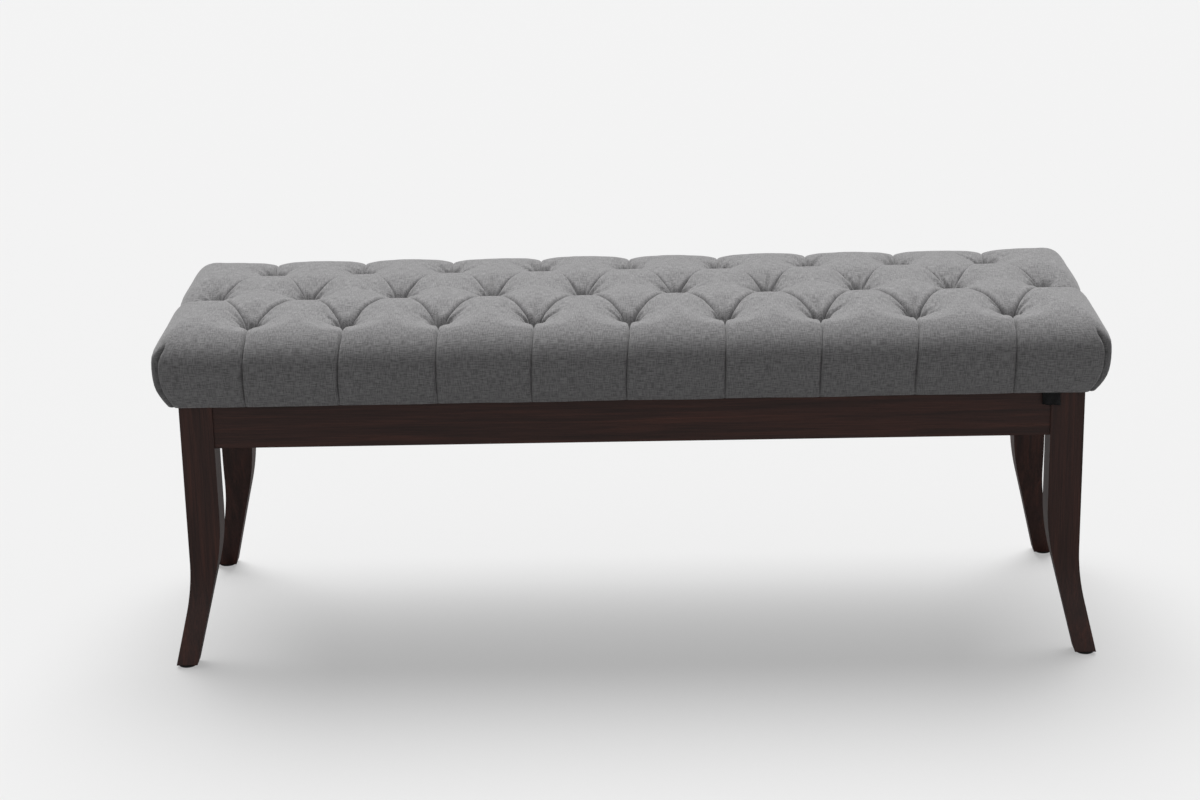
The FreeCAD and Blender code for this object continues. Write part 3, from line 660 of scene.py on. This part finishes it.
mesh = bpy.data.meshes.new("tufted_cover")
mesh.from_pydata((np.concatenate(cover.points) * MM).tolist(), [], np.concatenate(cover.faces).tolist())
tufted_cover = bpy.data.objects.new("tufted_cover", mesh)
bpy.context.collection.objects.link(tufted_cover)
cloth_place = mesh.attributes.new("cloth_place", "FLOAT_VECTOR", "POINT")
unrolled = np.concatenate(cover.cloth) * MM
cloth_place.data.foreach_set("vector", np.concatenate([unrolled, np.zeros((len(unrolled), 1))], 1).ravel())

WELD = 0.02 * MM
shape = bmesh.new()
shape.from_mesh(mesh)
bmesh.ops.remove_doubles(shape, verts=shape.verts, dist=WELD)
bmesh.ops.holes_fill(shape, edges=[edge for edge in shape.edges if edge.is_boundary], sides=0)
bmesh.ops.recalc_face_normals(shape, faces=shape.faces)
for face in shape.faces:
    face.smooth = len(face.verts) == 4
shape.to_mesh(mesh)
shape.free()

# Melange yarn: each thread is spun from light and dark fibre, so single threads run lighter
# or darker for a few millimetres. Threads are 0.8 mm apart on the real cloth and are drawn
# at 1.1 mm, so that they still show.
THREAD = 1.1 * MM
SLUB = 11 * MM
CLOTH_LIGHT = "#a4a3a4"
CLOTH_MID = "#8d8c8d"
CLOTH_DARK = "#747374"


def melange_cloth(name, attribute):
    """The cloth. With an attribute its threads follow the unrolled cloth, else the object."""
    material = new_material(name)
    if attribute:
        place = add(material, "ShaderNodeAttribute", {"attribute_name": attribute}).outputs["Vector"]
    else:
        place = add(material, "ShaderNodeTexCoord").outputs["Object"]
    threads = []
    for across in (0, 1):
        scale = [1 / SLUB, 1 / SLUB, 1 / SLUB]
        scale[across] = 1 / THREAD
        squeezed = add(material, "ShaderNodeMapping", {"Scale": scale, "Location": (7.0 * across, 3.0, 0.0)},
                       {"Vector": place})
        threads.append(add(material, "ShaderNodeTexNoise", {"Scale": 1.0, "Detail": 2.0, "Roughness": 0.6},
                           {"Vector": squeezed}))
    both = add(material, "ShaderNodeMix", {"data_type": "FLOAT", "Factor": 0.55},
               {2: threads[0], 3: threads[1]})
    colour = add(material, "ShaderNodeValToRGB", links={0: both},
                 stops=[(0.4, CLOTH_DARK), (0.6, CLOTH_LIGHT), (0.5, CLOTH_MID)])
    relief = add(material, "ShaderNodeBump", {"Strength": 0.3, "Distance": 0.4 * MM}, {"Height": both})
    cloth = add(material, "ShaderNodeBsdfPrincipled",
                {"Roughness": 0.92, "IOR": 1.45, "Specular IOR Level": 0.25, "Sheen Weight": 0.4,
                 "Sheen Roughness": 0.5},
                {"Base Color": colour, "Normal": relief})
    add(material, "ShaderNodeOutputMaterial", links={"Surface": cloth})
    return material


mesh.materials.append(melange_cloth("grey_melange_woven_polyester", "cloth_place"))
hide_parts("cushion_cover", "foam_pad")
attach(tufted_cover, "root")


# Tufting: a button covered in the same cloth sits at the bottom of each tuft, held by waxed
# nylon twine that is pulled down through foam and board.
button_cloth = melange_cloth("grey_melange_button_cloth", None)
for row in ("front", "middle", "back"):
    dress("tuft_buttons_" + row, button_cloth)

TWIST = 1.2 * MM
cord = new_material("waxed_nylon_twine")
cord_place = add(cord, "ShaderNodeTexCoord")
twist = add(cord, "ShaderNodeTexWave", {"bands_direction": "DIAGONAL", "Scale": 1 / (TWIST * 2 * math.pi)},
            {"Vector": cord_place.outputs["Object"]})
cord_colour = add(cord, "ShaderNodeValToRGB", links={0: twist}, stops=[(0.2, "#9b9484"), (0.8, "#d2ccbd")])
cord_relief = add(cord, "ShaderNodeBump", {"Strength": 0.6, "Distance": 0.2 * MM}, {"Height": twist})
waxed = add(cord, "ShaderNodeBsdfPrincipled", {"Roughness": 0.5, "IOR": 1.5},
            {"Base Color": cord_colour, "Normal": cord_relief})
add(cord, "ShaderNodeOutputMaterial", links={"Surface": waxed})
dress("tufting_twine", cord)


# Staples: galvanised steel wire. One row holds the cover under the board, another the
# bottom cloth to the frame.
galvanised = plated_steel("galvanised_staple_wire", "#8d9094", "#b4b7bb", 0.42)
dress("cover_staples", galvanised)
dress("cloth_staples", galvanised)


# Bottom cloth: black spun-bonded polypropylene, a thin felt of fibres pressed with a grid
# of small dots, stapled under the frame as a dust cover.
DOT_SPACING = 1.6 * MM
FIBRE = 0.4 * MM
dust_cloth = new_material("black_spunbond_polypropylene")
dust_place = add(dust_cloth, "ShaderNodeTexCoord")
dots = add(dust_cloth, "ShaderNodeTexVoronoi", {"Scale": 1 / DOT_SPACING, "Randomness": 0.25},
           {"Vector": dust_place.outputs["Object"]})
fibres = add(dust_cloth, "ShaderNodeTexNoise", {"Scale": 1 / FIBRE, "Detail": 2.0},
             {"Vector": dust_place.outputs["Object"]})
dust_colour = add(dust_cloth, "ShaderNodeValToRGB", links={0: fibres},
                  stops=[(0.3, "#151516"), (0.7, "#272729")])
dust_relief = add(dust_cloth, "ShaderNodeBump", {"Strength": 0.5, "Distance": 0.2 * MM}, {"Height": dots})
spunbond = add(dust_cloth, "ShaderNodeBsdfPrincipled", {"Roughness": 0.8, "IOR": 1.49},
               {"Base Color": dust_colour, "Normal": dust_relief})
add(dust_cloth, "ShaderNodeOutputMaterial", links={"Surface": spunbond})
dress("bottom_cloth", dust_cloth)


# Tab: a bare loop of black woven tape, folded once and caught under the front edge of the
# cover, so that it hangs in front of the apron with its fold downwards.
TAPE_THICKNESS = 0.35
TAPE_FOLD_RADIUS = 0.8
TAPE_CAUGHT = 0.5
TAPE_CURL = 3.0
TAPE_WAVE = 1.1
TAPE_SLIP = 0.8
TAPE_STEPS = 8
TAPE_COLUMNS = 12
TAPE_RIB = 0.8 * MM
tab_low, tab_high = (np.array(corner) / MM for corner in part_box("label_tab"))
tab_middle = (tab_low + tab_high) / 2
tab_top = tab_high[2] + TAPE_CAUGHT
fold_level = tab_low[2] + TAPE_FOLD_RADIUS
path = []
for k in range(TAPE_STEPS + 1):
    path.append((-TAPE_FOLD_RADIUS, tab_top + (fold_level - tab_top) * k / TAPE_STEPS))
for k in range(1, TAPE_STEPS + 1):
    angle = math.pi * k / TAPE_STEPS
    path.append((-TAPE_FOLD_RADIUS * math.cos(angle), fold_level - TAPE_FOLD_RADIUS * math.sin(angle)))
for k in range(1, TAPE_STEPS + 1):
    path.append((TAPE_FOLD_RADIUS, fold_level + (tab_top - fold_level) * k / TAPE_STEPS))
tape = bmesh.new()
rows = []
for depth_place, level in path:
    row = []
    for k in range(TAPE_COLUMNS + 1):
        across = k / TAPE_COLUMNS - 0.5
        hang = (tab_top - level) / (tab_top - tab_low[2])
        curl = hang ** 1.5 * (TAPE_CURL * (0.4 + across) + TAPE_WAVE * math.sin(10 * across + 3 * hang))
        x = tab_middle[0] + across * (tab_high[0] - tab_low[0]) + TAPE_SLIP * hang
        row.append(tape.verts.new(Vector((x, tab_middle[1] + depth_place - curl, level)) * MM))
    rows.append(row)
for upper, lower in zip(rows, rows[1:]):
    for k in range(TAPE_COLUMNS):
        tape.faces.new((upper[k], upper[k + 1], lower[k + 1], lower[k])).smooth = True
bmesh.ops.recalc_face_normals(tape, faces=tape.faces)
bmesh.ops.solidify(tape, geom=tape.faces[:], thickness=TAPE_THICKNESS * MM)
tape_mesh = bpy.data.meshes.new("woven_tab")
tape.to_mesh(tape_mesh)
tape.free()
woven_tab = bpy.data.objects.new("woven_tab", tape_mesh)
bpy.context.collection.objects.link(woven_tab)

ribbon = new_material("black_woven_polyester_tape")
ribbon_place = add(ribbon, "ShaderNodeTexCoord")
ribs, picks = (
    add(ribbon, "ShaderNodeTexWave",
        {"bands_direction": direction, "Scale": 1 / (TAPE_RIB * 2 * math.pi), "Distortion": 0.6},
        {"Vector": ribbon_place.outputs["Object"]})
    for direction in "XZ")
weave = add(ribbon, "ShaderNodeMath", {"operation": "MULTIPLY"}, {0: ribs, 1: picks})
ribbon_colour = add(ribbon, "ShaderNodeValToRGB", links={0: weave},
                    stops=[(0.2, "#030304"), (0.8, "#121214")])
ribbon_relief = add(ribbon, "ShaderNodeBump", {"Strength": 0.6, "Distance": 0.2 * MM}, {"Height": weave})
satin_tape = add(ribbon, "ShaderNodeBsdfPrincipled",
                 {"Roughness": 0.4, "IOR": 1.5, "Specular IOR Level": 0.2},
                 {"Base Color": ribbon_colour, "Normal": ribbon_relief})
add(ribbon, "ShaderNodeOutputMaterial", links={"Surface": satin_tape})
tape_mesh.materials.append(ribbon)
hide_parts("label_tab")
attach(woven_tab, "root")


# Floor and backdrop: a pale studio paper, which carries the soft shadow of the bench. Seen
# directly it is lifted a little, and what it throws back on the bench is dimmer.
SWEEP = 14.0
PAPER_LIFT = 0.42
PAPER_ROUGHNESS = 0.9
floor_mesh = bpy.data.meshes.new("studio_floor")
floor_mesh.from_pydata([(-SWEEP, -SWEEP, 0), (SWEEP, -SWEEP, 0), (SWEEP, SWEEP, 0), (-SWEEP, SWEEP, 0)], [],
                       [(0, 1, 2, 3)])
studio_floor = bpy.data.objects.new("studio_floor", floor_mesh)
bpy.context.collection.objects.link(studio_floor)
paper = new_material("pale_paper_floor")
paper_ray = add(paper, "ShaderNodeLightPath")
paper_surface = add(paper, "ShaderNodeBsdfPrincipled",
                    {"Base Color": linear("#e6e6e6"), "Roughness": PAPER_ROUGHNESS})
dim_surface = add(paper, "ShaderNodeBsdfPrincipled",
                  {"Base Color": linear("#8a8a8a"), "Roughness": PAPER_ROUGHNESS})
glow = add(paper, "ShaderNodeEmission", {"Color": linear("#f0f0f0"), "Strength": 1.0})
lifted = add(paper, "ShaderNodeMixShader", {0: PAPER_LIFT}, {1: paper_surface, 2: glow})
paper_mix = add(paper, "ShaderNodeMixShader",
                links={0: paper_ray.outputs["Is Camera Ray"], 1: dim_surface, 2: lifted})
add(paper, "ShaderNodeOutputMaterial", links={"Surface": paper_mix})
floor_mesh.materials.append(paper)


# Light: one broad soft box overhead, a little behind the bench, so that the tops are lit and
# the front face lies in its own shade. A dim pale room fills in the rest.
SOFT_BOX_ENERGY = 3.2
SOFT_BOX_SPREAD = 54
SOFT_BOX_AIM = (0.04, -0.5, -1)
ROOM_LIGHT = 0.2
sky = bpy.data.lights.new("overhead_soft_light", "SUN")
sky.energy = SOFT_BOX_ENERGY
sky.angle = math.radians(SOFT_BOX_SPREAD)
overhead = bpy.data.objects.new("overhead_soft_light", sky)
bpy.context.collection.objects.link(overhead)
overhead.rotation_mode = "QUATERNION"
overhead.rotation_quaternion = Vector(SOFT_BOX_AIM).to_track_quat("-Z", "Y")
room = bpy.data.worlds.new("pale_room")
bpy.context.scene.world = room
room.use_nodes = True
room.node_tree.nodes.clear()
ray = add(room, "ShaderNodeLightPath")
seen = add(room, "ShaderNodeBackground", {"Color": linear("#f1f1f1"), "Strength": 1.0})
ambient = add(room, "ShaderNodeBackground", {"Color": linear("#ffffff"), "Strength": ROOM_LIGHT})
shown = add(room, "ShaderNodeMath", {"operation": "MAXIMUM"},
            {0: ray.outputs["Is Camera Ray"], 1: ray.outputs["Is Glossy Ray"]})
mixed = add(room, "ShaderNodeMixShader", links={0: shown, 1: ambient, 2: seen})
add(room, "ShaderNodeOutputWorld", links={"Surface": mixed})


# Camera: the photograph's viewpoint, 3.3 m in front and 1.36 m up, looking 18 degrees down.
CAMERA_PLACE = (0.01125, -3.2752, 1.3554)
CAMERA_YAW = -0.0160
CAMERA_PITCH = 0.3135
CAMERA_ROLL = -0.0216
CAMERA_LENS = 78.0
CAMERA_SENSOR = 36.0
forward = Vector((math.sin(CAMERA_YAW) * math.cos(CAMERA_PITCH),
                  math.cos(CAMERA_YAW) * math.cos(CAMERA_PITCH), -math.sin(CAMERA_PITCH)))
level_right = Vector((math.cos(CAMERA_YAW), -math.sin(CAMERA_YAW), 0))
level_up = level_right.cross(forward)
right = level_right * math.cos(CAMERA_ROLL) + level_up * math.sin(CAMERA_ROLL)
up = level_up * math.cos(CAMERA_ROLL) - level_right * math.sin(CAMERA_ROLL)
camera_data = bpy.data.cameras.new("photo_camera")
camera_data.sensor_width = CAMERA_SENSOR
camera_data.lens = CAMERA_LENS
camera = bpy.data.objects.new("photo_camera", camera_data)
bpy.context.collection.objects.link(camera)
turn = Matrix((right, up, -forward)).transposed().to_4x4()
camera.matrix_world = Matrix.Translation(CAMERA_PLACE) @ turn
bpy.context.scene.camera = camera
bpy.context.scene.view_settings.view_transform = "Standard"
